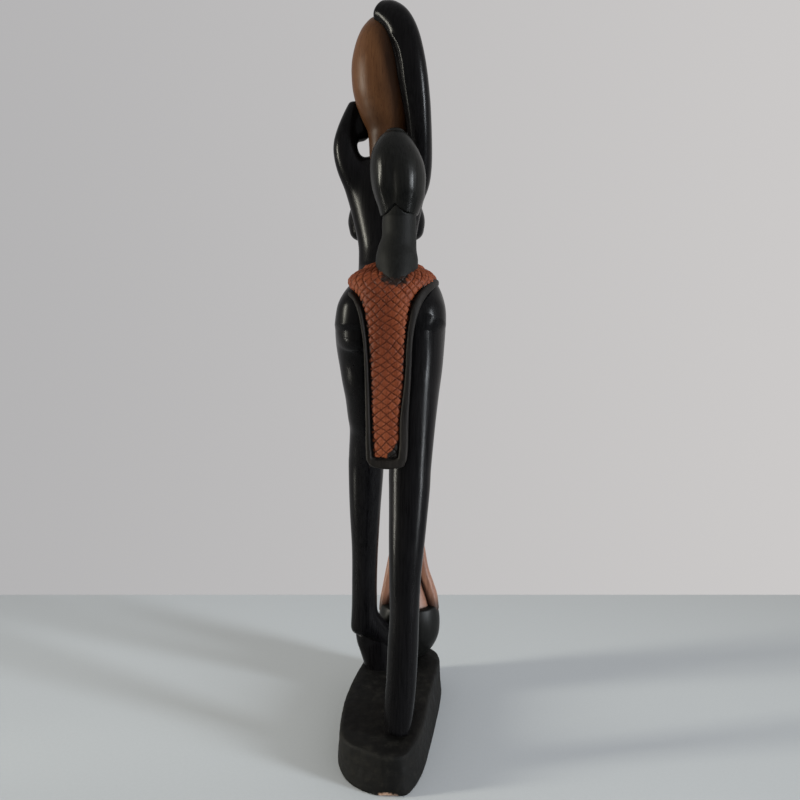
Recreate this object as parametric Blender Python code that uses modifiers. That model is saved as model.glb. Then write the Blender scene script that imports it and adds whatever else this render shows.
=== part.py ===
"""Carved ancestor figure: a woman holding a calabash overhead, a child on her back, on an oblong base.

Metres, +Z up. The origin is the centre of the base's underside, the woman faces +Y.
Each carved element is its own closed solid, with a small gap to the elements that it touches.
"""

import math

import bmesh
import bpy
from mathutils import Vector

MM = 0.001
GAP = 0.3  # clearance between two elements that touch

RING_POINTS = 12  # points round each lofted section
SPAN_STEPS = 2  # interpolated sections between two given ones
LATHE_STEPS = 20  # steps of each turned shape

BASE_HEIGHT = 25.0
BASE_BEVEL = 2.2
BASE_TOP_SCALE_X = 0.93
BASE_TOP_SHIFT_X = -2.2
BASE_OUTLINE = (
    (6, -76), (17, -74.5), (24, -64), (28, -32), (30.5, 0), (32, 30), (29, 55),
    (19, 71), (2, 77), (-14, 73), (-26, 60), (-32, 36), (-33, 4), (-32.5, -30),
    (-29, -51), (-20, -65), (-7, -73.5),
)

# Lofted sections: x, y, z of the centre, half width, half depth, all in millimetres.
RIGHT_FOOT = (
    (8.2, -53.5, 31.2, 7.6, 5.4), (8.4, -46, 31.6, 8.0, 5.8), (8.6, -36, 30.2, 7.8, 4.6),
    (8.8, -26, 29.0, 7.2, 3.4), (9.0, -20, 28.6, 6.0, 3.0),
)
RIGHT_LEG = (
    (8.6, -50.5, 33, 8.4, 8.6), (9.9, -50, 45, 9.4, 9.2), (10.7, -49.5, 60, 9.5, 9.4),
    (11.8, -49, 87, 9.6, 9.8), (12.8, -48.5, 112, 9.4, 10.2), (13.9, -48, 147, 10.9, 11.2),
    (15.9, -46, 193, 12.9, 12.6), (18.2, -42, 230, 14.4, 14.6), (19.5, -36, 260, 15.6, 17),
    (18, -30, 276, 14, 15),
)
LEFT_FOOT = (
    (-25.5, 27, 53.5, 7.6, 6.2), (-22, 30, 50, 8.2, 6.4), (-15.5, 33.5, 43.5, 8.0, 5.2),
    (-10, 36, 37.5, 7, 4.2), (-6, 37.5, 33, 5.4, 3.4),
)
LEFT_LEG = (
    (-25.4, 27.5, 62, 9.2, 9), (-24.8, 27, 75, 9.0, 9.2), (-24.3, 26, 88, 9.1, 9.6),
    (-23.8, 24, 118, 9.8, 10.6), (-23.4, 21, 150, 10.8, 11.8), (-22.8, 17, 184, 11.8, 12.8),
    (-22.2, 11, 204, 11.6, 13.2), (-21.2, 0, 222, 12.4, 14), (-20, -11, 244, 13.4, 15.6),
    (-19, -18, 264, 13.5, 15),
)
FOOT_BLOCK = (
    (-16, 43, 28, 10, 10), (-17, 42, 33, 11, 10.5), (-19, 41, 40, 12, 10.5),
    (-20.5, 40, 47, 12, 10),
)
PELVIS = (
    (-0.5, -12, 246, 24, 13), (-0.2, -17, 257, 32, 20), (0, -22, 268, 34.6, 26),
    (0.6, -25.5, 280, 35.6, 29), (1.4, -25, 289, 34.4, 28.5), (2.2, -21, 298, 30.4, 24.5),
    (0, -13, 307, 24, 18.5), (-3.4, -6, 315, 19, 14),
)
TORSO = (
    (-4.4, -3, 316, 18.6, 13.4), (-4.6, 1.5, 330, 19.2, 13.8), (-5.2, 5, 346, 22, 14.6),
    (-5.8, 7, 360, 25, 15.6), (-6.4, 7, 372, 27.5, 15.2), (-6.6, 6, 381, 26.5, 12.4),
    (-6.2, 6, 387, 21, 8.5),
)
LEFT_BREAST = (
    (-20, 15, 371, 4.2, 4.6), (-22.5, 18.5, 363, 7.6, 8.2), (-24.8, 21.5, 352, 9.4, 10.6),
    (-25.2, 22.5, 344, 8, 9.4),
)
RIGHT_BREAST = (
    (5.6, 15, 371, 4.2, 4.6), (7.6, 18.5, 363, 8, 8.2), (10.0, 21.5, 352, 9.6, 10.6),
    (10.4, 22.5, 344, 8.2, 9.4),
)
NECK = (
    (-5, 8, 382, 9.4, 9.4), (-5, 13, 389, 8.2, 8.6), (-4.8, 20, 396, 7.8, 8.4),
    (-4.6, 27, 403, 7.8, 8.4),
)
HEAD = (
    (-4.5, 38.5, 392, 6, 6.4), (-4.5, 37.5, 397, 9.8, 10.6), (-4.5, 36.5, 404, 12.4, 14.2),
    (-4.5, 36, 412.5, 13.6, 16.6), (-4.5, 35.5, 421, 13.2, 16.4), (-4.5, 34.5, 428.5, 10.8, 13),
    (-4.5, 33.5, 434, 6.2, 7.6),
)
HEAD_NOSE = ((-4.5, 51.5, 416, 1.5, 1.6), (-4.5, 53, 410.5, 2.2, 2.4), (-4.5, 53.2, 407, 3.0, 2.4))
CHILD_HEAD = (
    (8, -34, 347, 9.6, 10.2), (8, -34, 353, 14, 14.8), (8, -33.6, 361, 15.9, 17),
    (8, -33.3, 369.5, 16, 17.4), (8, -33, 378.5, 13.8, 15.2), (7.8, -33, 386, 9.4, 10.4),
    (7.4, -33, 390.5, 5, 5.8),
)
CHILD_NOSE = ((8, -16.6, 367, 1.5, 1.6), (8, -15.4, 362, 2.2, 2.2), (8, -15.4, 359, 2.8, 2.2))
CHILD_NECK = (
    (9.2, -34, 343, 9.9, 10.4), (9.4, -34.4, 334, 9.9, 10.5), (9.2, -35, 326, 10.5, 11.6),
    (8.2, -35.6, 318, 11.7, 13.4), (8.2, -36, 312, 11.2, 12.8),
)
LEFT_ARM = (
    (-20, 5, 368, 8, 8.5), (-25.4, 4.6, 376, 9.6, 9.8), (-30.2, 3.6, 386, 9.2, 9.2),
    (-32.2, 3.4, 396, 8.2, 8.4), (-31.2, 5, 406, 7.2, 7.4), (-28.6, 8, 416, 6.2, 6.6),
    (-26.2, 10.5, 423, 5.4, 6),
)
LEFT_HAND = (
    (-25.6, 11.5, 425, 4.6, 6.2), (-24.4, 13, 432, 4.2, 6.8), (-22.4, 14, 439, 3.6, 6.4),
    (-20.4, 14, 445, 2.8, 5.2),
)
RIGHT_ARM = (
    (10, 5, 362, 8, 9.5), (15.2, 3, 373, 8.6, 10), (17.9, 1, 386, 7.8, 9.8),
    (18.4, -1.5, 402, 7.4, 9.6), (17.6, -3, 418, 7.4, 9.4), (15.4, -4, 438, 7.3, 9.2),
    (11.8, -4.2, 456, 7.2, 9), (8.6, -4.2, 465, 7.2, 8.8),
)
RIGHT_HAND = (
    (10.4, -4.2, 468.6, 8.6, 6.2), (7.2, -4.2, 473.4, 8.6, 6.2), (2.6, -4.2, 477.2, 8.4, 6),
    (-3, -4.2, 479, 7.6, 5), (-7.4, -4.2, 479.2, 6, 4),
)
WRAP_BUNDLE = (
    (3.6, -29, 288, 24, 30), (3.4, -30.5, 296, 28, 32), (3.4, -31, 303, 27.4, 30.5),
    (3.6, -31, 309, 22.6, 26.5), (4, -31, 313, 16, 21),
)
WRAP_BORDER = (
    (3.4, -62, 197, 11, 3.6), (3.4, -61.6, 215, 12, 4), (4.1, -60.8, 240, 12.6, 4.8),
    (4.6, -59.8, 262, 13, 6), (4.8, -58.6, 279, 14.6, 7.6), (4.4, -56.8, 291, 17.6, 9),
)
WRAP_PANEL_OUTLINE = (
    (-3.6, 202), (9.4, 202), (11.6, 224), (13.8, 250), (15, 272), (17.4, 292),
    (-10.8, 292), (-9, 281), (-6.4, 260), (-5.4, 225),
)
WRAP_PANEL_BACK = -66.4
WRAP_PANEL_THICKNESS = 1.6

# Turned shapes: radius and height of each point of the profile, from the foot up.
JAR_CENTRE = (-7.0, -3.0)
JAR_DEPTH_SCALE = 0.93
JAR_PROFILE = (
    (0, 398.5), (5, 399.6), (9.6, 403.6), (13.6, 410), (16.8, 419), (18.8, 430), (19.4, 441),
    (18.8, 452), (16.6, 461.5), (12.6, 469.5), (7.2, 474.6), (0, 476.5),
)
GOURD_CENTRE = (5.4, 57.5)
GOURD_DEPTH_SCALE = 0.84
GOURD_BOWL_PROFILE = (
    (0, 25.3), (11, 25.3), (14.8, 28), (19.6, 34.5), (22.8, 42), (23.8, 50), (23.2, 58),
    (21.6, 65), (19, 65.6), (0, 65.6),
)
GOURD_NECK_PROFILE = (
    (0, 65.9), (15.4, 65.9), (12.2, 75), (9.2, 86), (6.8, 99), (5.2, 108), (5.0, 111),
    (6.2, 113), (6.2, 115), (0, 115.8),
)
GOURD_STRAP = (
    (-14.6, 57.5, 67, 5, 3.2), (-12.4, 57.5, 78, 5, 3.4), (-9, 57.5, 94, 4.6, 3.4),
    (-5.5, 57.5, 112, 4.2, 3.2), (-1, 57.5, 126, 4, 3), (4.6, 57.5, 132, 4, 3),
    (10.4, 57.5, 126, 4, 3), (14.2, 57.5, 112, 4.2, 3.2), (17.8, 57.5, 94, 4.6, 3.4),
    (22.2, 57.5, 78, 5, 3.4), (25, 57.5, 67, 5, 3.2),
)

BLACK = (0.010, 0.009, 0.010)
SOFT_BLACK = (0.030, 0.030, 0.027)
BASE_BLACK = (0.022, 0.020, 0.018)
BROWN = (0.26, 0.095, 0.035)
PANEL_BROWN = (0.32, 0.10, 0.035)


def clear_scene():
    for old in list(bpy.data.objects):
        bpy.data.objects.remove(old, do_unlink=True)


def new_collection(name):
    made = bpy.data.collections.new(name)
    bpy.context.scene.collection.children.link(made)
    return made


clear_scene()
FIGURE = new_collection("carved_ancestor_figure")
CUTTERS = new_collection("cutters")


def wood(name, colour, roughness):
    material = bpy.data.materials.new(name)
    material.use_nodes = True
    shader = material.node_tree.nodes["Principled BSDF"]
    shader.inputs["Base Color"].default_value = (*colour, 1.0)
    shader.inputs["Roughness"].default_value = roughness
    shader.inputs["Metallic"].default_value = 0.0
    material.diffuse_color = (*colour, 1.0)
    return material


def add_object(name, mesh, colour, roughness):
    made = bpy.data.objects.new(name, mesh)
    FIGURE.objects.link(made)
    mesh.materials.append(wood(name, colour, roughness))
    return made


def smooth_path(sections):
    """Catmull-Rom sections through the given ones."""
    rows = [Vector(section) for section in sections]
    rows = [2 * rows[0] - rows[1]] + rows + [2 * rows[-1] - rows[-2]]
    found = []
    for first in range(1, len(rows) - 2):
        before, start, end, after = rows[first - 1:first + 3]
        for step in range(SPAN_STEPS):
            t = step / SPAN_STEPS
            linear = (end - before) * t
            square = (2 * before - 5 * start + 4 * end - after) * t * t
            cube = (3 * start - before - 3 * end + after) * t ** 3
            found.append(start + 0.5 * (linear + square + cube))
    return found + [rows[-2]]


def section_axes(rows, index, across):
    """The path's direction at this section, with the width and depth directions."""
    before = rows[max(index - 1, 0)]
    after = rows[min(index + 1, len(rows) - 1)]
    along = Vector(after[:3]) - Vector(before[:3])
    along.normalize()
    width = across - along * across.dot(along)
    width.normalize()
    return along, width, along.cross(width)


def add_ring(mesh, centre, width, depth):
    ring = []
    for point in range(RING_POINTS):
        turn = 2 * math.pi * point / RING_POINTS
        place = centre + width * math.cos(turn) + depth * math.sin(turn)
        ring.append(mesh.verts.new(place * MM))
    return ring


def carved(
    name, sections, colour, roughness, caps=(0.55, 0.55), across=(1, 0, 0), level=False
):
    """A closed body lofted through the sections, with rounded ends. Level sections stay upright."""
    rows = smooth_path([tuple(map(float, section)) for section in sections])
    mesh = bmesh.new()
    rings = []
    poles = []
    for index in range(len(rows)):
        row = rows[index]
        along, width, depth = section_axes(rows, index, Vector(across))
        if level:
            along, width, depth = Vector((0, 0, 1)), Vector((1, 0, 0)), Vector((0, 1, 0))
        centre = Vector(row[:3])
        end_cap = {0: -caps[0], len(rows) - 1: caps[1]}.get(index, 0.0)
        rise = along * end_cap * min(row[3], row[4])
        made = [add_ring(mesh, centre, width * row[3], depth * row[4])]
        if end_cap:
            place = centre + rise * 0.7
            made.append(add_ring(mesh, place, width * row[3] * 0.72, depth * row[4] * 0.72))
            poles.append(mesh.verts.new((centre + rise) * MM))
        rings += reversed(made) if index == 0 else made
    for low, high in zip(rings, rings[1:]):
        for point in range(RING_POINTS):
            after = (point + 1) % RING_POINTS
            mesh.faces.new((low[point], low[after], high[after], high[point]))
    for point in range(RING_POINTS):
        after = (point + 1) % RING_POINTS
        mesh.faces.new((rings[0][after], rings[0][point], poles[0]))
        mesh.faces.new((rings[-1][point], rings[-1][after], poles[-1]))
    bmesh.ops.recalc_face_normals(mesh, faces=mesh.faces)
    data = bpy.data.meshes.new(name)
    mesh.to_mesh(data)
    mesh.free()
    return add_object(name, data, colour, roughness)


def turned(name, profile, centre, depth_scale, colour, roughness):
    """A closed body turned about an upright axis, from a profile that starts and ends on it."""
    mesh = bmesh.new()
    line = [mesh.verts.new((radius * MM, 0.0, height * MM)) for radius, height in profile]
    edges = [mesh.edges.new(pair) for pair in zip(line, line[1:])]
    bmesh.ops.spin(
        mesh, geom=line + edges, cent=(0, 0, 0), axis=(0, 0, 1),
        angle=2 * math.pi, steps=LATHE_STEPS,
    )
    bmesh.ops.remove_doubles(mesh, verts=mesh.verts, dist=0.01 * MM)
    bmesh.ops.scale(mesh, vec=(1.0, depth_scale, 1.0), verts=mesh.verts)
    bmesh.ops.translate(mesh, vec=(centre[0] * MM, centre[1] * MM, 0.0), verts=mesh.verts)
    bmesh.ops.recalc_face_normals(mesh, faces=mesh.faces)
    data = bpy.data.meshes.new(name)
    mesh.to_mesh(data)
    mesh.free()
    return add_object(name, data, colour, roughness)


def plate(name, outline, back, thickness, colour, roughness):
    """A thin upright plate with the outline in X and Z, its front face towards -Y."""
    mesh = bmesh.new()
    front = [mesh.verts.new(Vector((x, back - thickness, z)) * MM) for x, z in outline]
    rear = [mesh.verts.new(Vector((x, back, z)) * MM) for x, z in outline]
    mesh.faces.new(front)
    mesh.faces.new(list(reversed(rear)))
    for index in range(len(outline)):
        after = (index + 1) % len(outline)
        mesh.faces.new((front[index], rear[index], rear[after], front[after]))
    bmesh.ops.recalc_face_normals(mesh, faces=mesh.faces)
    data = bpy.data.meshes.new(name)
    mesh.to_mesh(data)
    mesh.free()
    return add_object(name, data, colour, roughness)


def base_slab():
    outline = [Vector((x, y, 0.0, 0.0, 0.0)) for x, y in BASE_OUTLINE]
    mesh = bmesh.new()
    low = [mesh.verts.new((point.x * MM, point.y * MM, 0.0)) for point in outline]
    high = []
    for point in outline:
        x = point.x * BASE_TOP_SCALE_X + BASE_TOP_SHIFT_X
        high.append(mesh.verts.new((x * MM, point.y * MM * 0.985, BASE_HEIGHT * MM)))
    mesh.faces.new(list(reversed(low)))
    mesh.faces.new(high)
    for index in range(len(outline)):
        after = (index + 1) % len(outline)
        mesh.faces.new((low[index], low[after], high[after], high[index]))
    bmesh.ops.recalc_face_normals(mesh, faces=mesh.faces)
    data = bpy.data.meshes.new("base_slab")
    mesh.to_mesh(data)
    mesh.free()
    made = add_object("base_slab", data, BASE_BLACK, 0.75)
    bevel = made.modifiers.new("worn_edges", "BEVEL")
    bevel.width = BASE_BEVEL * MM
    bevel.segments = 2
    bevel.limit_method = "ANGLE"
    bevel.angle_limit = math.radians(50)
    return made


def cutter_of(solid):
    """A copy grown by the gap, which clears room for the solid in its neighbours."""
    name = solid.name + "_room"
    if name in bpy.data.objects:
        return bpy.data.objects[name]
    grown = solid.copy()
    grown.data = solid.data.copy()
    grown.name = name
    for other in list(grown.modifiers):
        if other.type == "BOOLEAN":
            grown.modifiers.remove(other)
    CUTTERS.objects.link(grown)
    grown.hide_render = True
    grown.display_type = "WIRE"
    swell = grown.modifiers.new("gap", "DISPLACE")
    swell.strength = GAP * MM
    swell.mid_level = 0.0
    return grown


def boolean(solid, other, operation, name):
    step = solid.modifiers.new(name, "BOOLEAN")
    step.operation = operation
    step.solver = "EXACT"
    step.object = other


def make_room(solid, *neighbours):
    """Cuts the solid back from its neighbours, leaving the gap."""
    for neighbour in neighbours:
        boolean(solid, cutter_of(neighbour), "DIFFERENCE", "room_for_" + neighbour.name)


def fused(solid, part):
    """Joins a small feature to the solid. The feature becomes a helper."""
    FIGURE.objects.unlink(part)
    CUTTERS.objects.link(part)
    part.hide_render = True
    part.display_type = "WIRE"
    boolean(solid, part, "UNION", "with_" + part.name)


base = base_slab()
right_foot = carved("right_foot", RIGHT_FOOT, BLACK, 0.3)
right_leg = carved("right_leg", RIGHT_LEG, BLACK, 0.25, caps=(0.2, 0.4))
left_foot = carved("left_foot", LEFT_FOOT, BLACK, 0.3)
left_leg = carved("left_leg", LEFT_LEG, BLACK, 0.25, caps=(0.2, 0.4))
foot_block = carved("left_foot_block", FOOT_BLOCK, BASE_BLACK, 0.7, caps=(0.3, 0.3))
pelvis = carved("pelvis", PELVIS, BLACK, 0.25, caps=(0.2, 0.2), level=True)
torso = carved("torso", TORSO, BLACK, 0.25, caps=(0.2, 0.35), level=True)
left_breast = carved("left_breast", LEFT_BREAST, BLACK, 0.25, caps=(0.5, 0.8))
right_breast = carved("right_breast", RIGHT_BREAST, BLACK, 0.25, caps=(0.5, 0.8))
neck = carved("neck", NECK, BLACK, 0.3, caps=(0.2, 0.4))
head = carved("head", HEAD, BLACK, 0.3, caps=(0.6, 0.5), level=True)
fused(head, carved("head_nose", HEAD_NOSE, BLACK, 0.3))
child_head = carved("child_head", CHILD_HEAD, SOFT_BLACK, 0.35, caps=(0.2, 0.6), level=True)
fused(child_head, carved("child_nose", CHILD_NOSE, SOFT_BLACK, 0.35))
child_neck = carved("child_neck", CHILD_NECK, SOFT_BLACK, 0.4, caps=(0.2, 0.3))
left_arm = carved("left_arm", LEFT_ARM, BLACK, 0.25, caps=(0.5, 0.3))
left_hand = carved("left_hand", LEFT_HAND, BLACK, 0.3)
right_arm = carved("right_arm", RIGHT_ARM, BLACK, 0.25, caps=(0.5, 0.2))
right_hand = carved(
    "right_hand", RIGHT_HAND, BLACK, 0.3, caps=(0.3, 0.7), across=(0, 1, 0)
)
bundle = carved(
    "wrap_bundle", WRAP_BUNDLE, PANEL_BROWN, 0.5, caps=(0.15, 0.15), level=True
)
border = carved("wrap_border", WRAP_BORDER, BLACK, 0.35, caps=(0.5, 0.3))
panel = plate(
    "wrap_panel", WRAP_PANEL_OUTLINE, WRAP_PANEL_BACK, WRAP_PANEL_THICKNESS, PANEL_BROWN, 0.5
)
jar = turned("carried_jar", JAR_PROFILE, JAR_CENTRE, JAR_DEPTH_SCALE, BROWN, 0.3)
bowl = turned(
    "gourd_bowl", GOURD_BOWL_PROFILE, GOURD_CENTRE, GOURD_DEPTH_SCALE, SOFT_BLACK, 0.4
)
gourd_neck = turned(
    "gourd_neck", GOURD_NECK_PROFILE, GOURD_CENTRE, GOURD_DEPTH_SCALE, BROWN, 0.4
)
strap = carved("gourd_strap", GOURD_STRAP, BROWN, 0.4, caps=(0.1, 0.1), across=(0, 1, 0))

make_room(right_foot, base)
make_room(right_leg, right_foot, base, pelvis)
make_room(left_leg, left_foot, pelvis)
make_room(foot_block, left_foot, base, bowl)
make_room(pelvis, bundle, child_neck)
make_room(torso, pelvis, bundle)
make_room(left_breast, torso)
make_room(right_breast, torso)
make_room(neck, torso, head, jar)
make_room(child_head, child_neck)
make_room(child_neck, bundle)
make_room(left_arm, torso, jar, left_hand)
make_room(left_hand, jar)
make_room(right_arm, torso, jar, right_hand)
make_room(right_hand, jar)
make_room(border, pelvis, bundle, right_leg)
make_room(panel, border, bundle)
make_room(strap, bowl, gourd_neck)
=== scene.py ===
"""Visual model of the carved ancestor figure. Millimetres in the tables, metres in Blender."""
import math

import bpy
import numpy as np
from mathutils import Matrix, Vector, noise


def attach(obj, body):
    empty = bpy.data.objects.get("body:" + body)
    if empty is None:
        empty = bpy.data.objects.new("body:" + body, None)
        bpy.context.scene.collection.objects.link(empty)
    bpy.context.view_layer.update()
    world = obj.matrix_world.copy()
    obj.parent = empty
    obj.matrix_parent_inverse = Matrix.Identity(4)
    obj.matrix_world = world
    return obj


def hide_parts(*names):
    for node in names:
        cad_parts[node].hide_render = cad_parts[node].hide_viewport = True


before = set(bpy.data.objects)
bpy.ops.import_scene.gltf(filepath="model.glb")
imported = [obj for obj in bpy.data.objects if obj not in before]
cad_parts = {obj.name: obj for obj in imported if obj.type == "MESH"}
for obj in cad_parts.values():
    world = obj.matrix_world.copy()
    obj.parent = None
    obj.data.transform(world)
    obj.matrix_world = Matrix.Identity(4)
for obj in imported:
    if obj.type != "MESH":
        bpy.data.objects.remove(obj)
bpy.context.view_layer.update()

MM = 0.001
BODY_VOXEL = 0.65
FINE_VOXEL = 0.36
JAR_VOXEL = FINE_VOXEL * 1.4
GOURD_VOXEL = FINE_VOXEL * 1.3
BASE_VOXEL = BODY_VOXEL * 1.1
# 70 rounds of averaging at one millimetre, and more for finer skins, so that they soften as far
SOFT_ROUNDS = int(70 / BODY_VOXEL ** 2)

# ---------------------------------------------------------------- shapes: x, y, z, half width, half depth
RIGHT_LEG = (
    (8, -53, 27, 7.8, 8), (8.6, -51.6, 34, 8.9, 8.8), (9.6, -50.4, 47, 9.5, 9.3),
    (10.6, -49.8, 60, 9.5, 9.5), (11.6, -49.2, 82, 9.5, 9.8), (12.4, -48.6, 101, 9.2, 10.2),
    (12.8, -48.2, 124, 9.8, 10.7), (13.7, -48, 146, 11, 11.4), (15.2, -46.6, 178, 12.5, 12.4),
    (15.6, -45.6, 194, 12.9, 13), (17.2, -42.6, 220, 13.6, 15.2), (18.6, -37.6, 240, 14.2, 18.4),
    (19.4, -33.4, 254, 15, 21), (19.4, -30, 268, 16, 24.4), (19.2, -28.4, 280, 16.8, 26.4),
    (19.4, -28.6, 290, 16.4, 24), (19, -28, 299, 14.2, 17.4), (17.6, -24, 305.6, 9.6, 12.6),
)
RIGHT_FOOT = (
    (8.2, -54, 30.6, 7.4, 5.8), (8.4, -46, 31.4, 7.8, 6.6), (8.7, -37, 29.8, 7.8, 5),
    (9.2, -28, 28.2, 8, 3.8), (9.5, -22, 27.6, 7.4, 3),
)
LEFT_LEG = (
    (-25.4, 26.4, 57, 10.2, 8.4), (-25.2, 26.8, 64, 9.8, 8.8), (-24.8, 27, 76, 9.5, 9.2),
    (-24.6, 26, 90, 9.2, 9.6), (-23.8, 24, 118, 9.5, 10.6), (-22.9, 20, 148, 11, 11.8),
    (-21.3, 15.5, 180, 12.4, 12.6), (-20.6, 12, 193, 12, 13), (-19.6, 5.5, 210, 11.2, 13.4),
    (-18.8, -2.5, 222, 12, 14.4), (-18, -8.6, 234, 13, 16), (-17.6, -13.4, 247, 14.8, 19),
    (-17.2, -15.6, 260, 16.8, 21.6), (-17, -18.8, 272, 17.6, 25), (-16.6, -23.6, 282, 17, 28),
    (-15.2, -27.4, 291, 15.2, 22.6), (-12.8, -25, 299, 11.8, 18), (-10.6, -21, 305, 8, 13),
)
LEFT_FOOT = (
    (-24.4, 26.6, 66, 9.6, 9), (-21.4, 29.4, 61, 9.6, 10), (-17, 32.6, 54.6, 9.2, 9.6),
    (-12.4, 35.4, 47, 8.6, 8.6), (-7.6, 38, 39.4, 7.6, 7), (-3, 40.4, 33, 6.2, 4.8),
)
PELVIS = (
    (-1, -14, 243, 5, 7), (-0.8, -13.4, 250, 12, 11), (-0.4, -12.4, 258, 21, 15.6),
    (-0.2, -12, 267, 28, 18.8), (0, -12.6, 275, 31.4, 21.4), (0.6, -13.6, 284, 32.2, 22.8),
    (1, -14.4, 291, 31.4, 23), (1.8, -14.4, 298, 29, 21.8), (1.6, -13, 304, 25.4, 19.4),
    (-2, -8.4, 311, 20.4, 15.6), (-3.4, -5, 317, 19, 14.5),
)
TORSO = (
    (-3.8, -5, 311, 19, 14.5), (-4.5, -1, 322, 18.4, 13.6), (-4.7, 2.5, 333, 19, 13.8),
    (-5.2, 5, 346, 21.6, 14.6), (-5.8, 7, 360, 25, 15.6), (-6.4, 7.4, 371, 27.6, 15.2),
    (-6.6, 6.6, 380, 26.6, 12.8), (-6.4, 6.4, 387, 20.6, 9.6), (-6.2, 6.4, 390, 14, 7),
)
LEFT_BREAST = (
    (-20, 14, 372, 4.6, 5), (-22.5, 18.5, 363, 7.8, 8.4), (-24.6, 21.5, 352, 9.4, 10.6),
    (-25.0, 22.6, 345, 8.2, 9.6),
)
RIGHT_BREAST = (
    (5.6, 14, 372, 4.6, 5), (7.6, 18.5, 363, 8, 8.4), (9.8, 21.5, 352, 9.5, 10.6),
    (10.2, 22.6, 345, 8.4, 9.6),
)
NECK = (
    (-5.2, 6, 380, 12, 10.5), (-5, 10, 386, 9.4, 9.2), (-4.9, 15, 392, 8.2, 8.6),
    (-4.8, 21, 398, 7.8, 8.4), (-4.6, 28, 405, 7.8, 8.4),
)
LEFT_ARM = (
    (-17, 6, 364, 8, 9), (-22, 5.4, 371, 10, 10), (-26.6, 4.4, 379, 10.2, 9.8),
    (-30.4, 3.4, 388, 9.4, 9), (-32.2, 3.4, 397, 8.3, 8.4), (-31.2, 5, 406, 7.2, 7.4),
    (-28.6, 8, 416, 6.2, 6.6), (-26.2, 10.5, 424, 5.2, 6),
)
LEFT_HAND = (
    (-24.8, 7, 403.6, 6.4, 5.6), (-23, 8.4, 409.4, 8.2, 7), (-21.4, 10, 416, 8.4, 7),
    (-20.8, 11.4, 423, 7.2, 6.4), (-21.6, 12.4, 429, 4.8, 6), (-20.4, 13.6, 437, 3.6, 6.2),
    (-18.8, 14, 445, 2.6, 5),
)
RIGHT_ARM = (
    (9, 6, 362, 8.4, 10), (13.8, 4.2, 371, 9.6, 10.6), (16.6, 1.6, 381, 8.8, 10.6),
    (17.8, -2, 393, 8, 10.4), (17.4, -6, 406, 8, 10), (15.9, -9.4, 420, 8.8, 9.6),
    (13.8, -11.6, 434, 9.5, 9.4), (11.6, -12.6, 447, 9.5, 9), (8.4, -12.6, 458.6, 9.6, 8.6),
    (3.8, -11.4, 467.6, 9.5, 8), (-1.6, -9.6, 473, 9, 7), (-6, -8.4, 475.4, 7.6, 5.8),
)
HEAD = (
    (-4.5, 39, 391.6, 5.4, 5.8), (-4.5, 38, 396, 9.4, 10.6), (-4.5, 36.8, 403.5, 12.2, 14.2),
    (-4.5, 36, 412.5, 13.5, 16.6), (-4.5, 35.5, 421, 13.2, 16.4), (-4.5, 34.5, 428.5, 10.8, 13),
    (-4.5, 33.5, 434, 6.2, 7.6),
)
CHILD_HEAD = (
    (7.6, -34.6, 343, 9.6, 10.4), (7.8, -34.2, 347, 11, 12.2), (8, -34, 351.6, 12.5, 13.8),
    (7.9, -33.8, 356.6, 14.2, 15.6), (7.4, -33.4, 362, 15.4, 17), (7.0, -33.2, 368.6, 16.1, 17.6),
    (6.2, -33, 376, 15.7, 16.8), (5.4, -33, 383.2, 13.6, 14.4), (5, -33, 388.8, 10.6, 11.2),
    (5, -33, 392.4, 7.9, 8.2), (5.2, -33, 394.6, 5.4, 5.6),
)
CHILD_NECK = (
    (7.7, -34.4, 348, 10.2, 10.6), (7.7, -34.8, 340, 10.4, 11), (7.8, -35.8, 332, 10.5, 11.6),
    (6.9, -37.4, 324.5, 11.9, 12.4), (6.8, -39.2, 318.6, 12.8, 13.6), (7.3, -41.2, 312.4, 12.3, 14.4),
    (7.6, -43, 307, 11.8, 15), (7.8, -44.6, 302.6, 10.8, 15), (8, -45.6, 297, 9.4, 13),
)
WRAP = (
    (3.1, -62.4, 203.6, 7.4, 3.4), (3.2, -62.4, 214, 8, 3.6), (2.9, -62.2, 225, 8.7, 3.8),
    (3.9, -62, 249, 10.2, 4.2), (3.7, -61.4, 268, 11.2, 4.8), (3.3, -60, 281, 12.5, 6),
    (3, -57, 290, 14, 8.4), (3, -47, 297.4, 18, 17), (3.2, -35.4, 302.4, 24.4, 26.4),
    (3.4, -30, 307, 26.8, 28.6), (3.6, -27, 311.4, 24, 24.6), (3.6, -25, 314.4, 19, 19),
)
WRAP_RIM_SLAB = (
    (3.2, -60.6, 197.6, 10.6, 3.2), (3.2, -60.2, 204, 11.6, 3.6), (3.8, -60, 225, 12, 3.8),
    (4.4, -59.6, 252, 12.4, 4.2), (4.5, -58.6, 269, 12.9, 4.8), (4.7, -56.4, 281, 14.6, 6.4),
)
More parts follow.
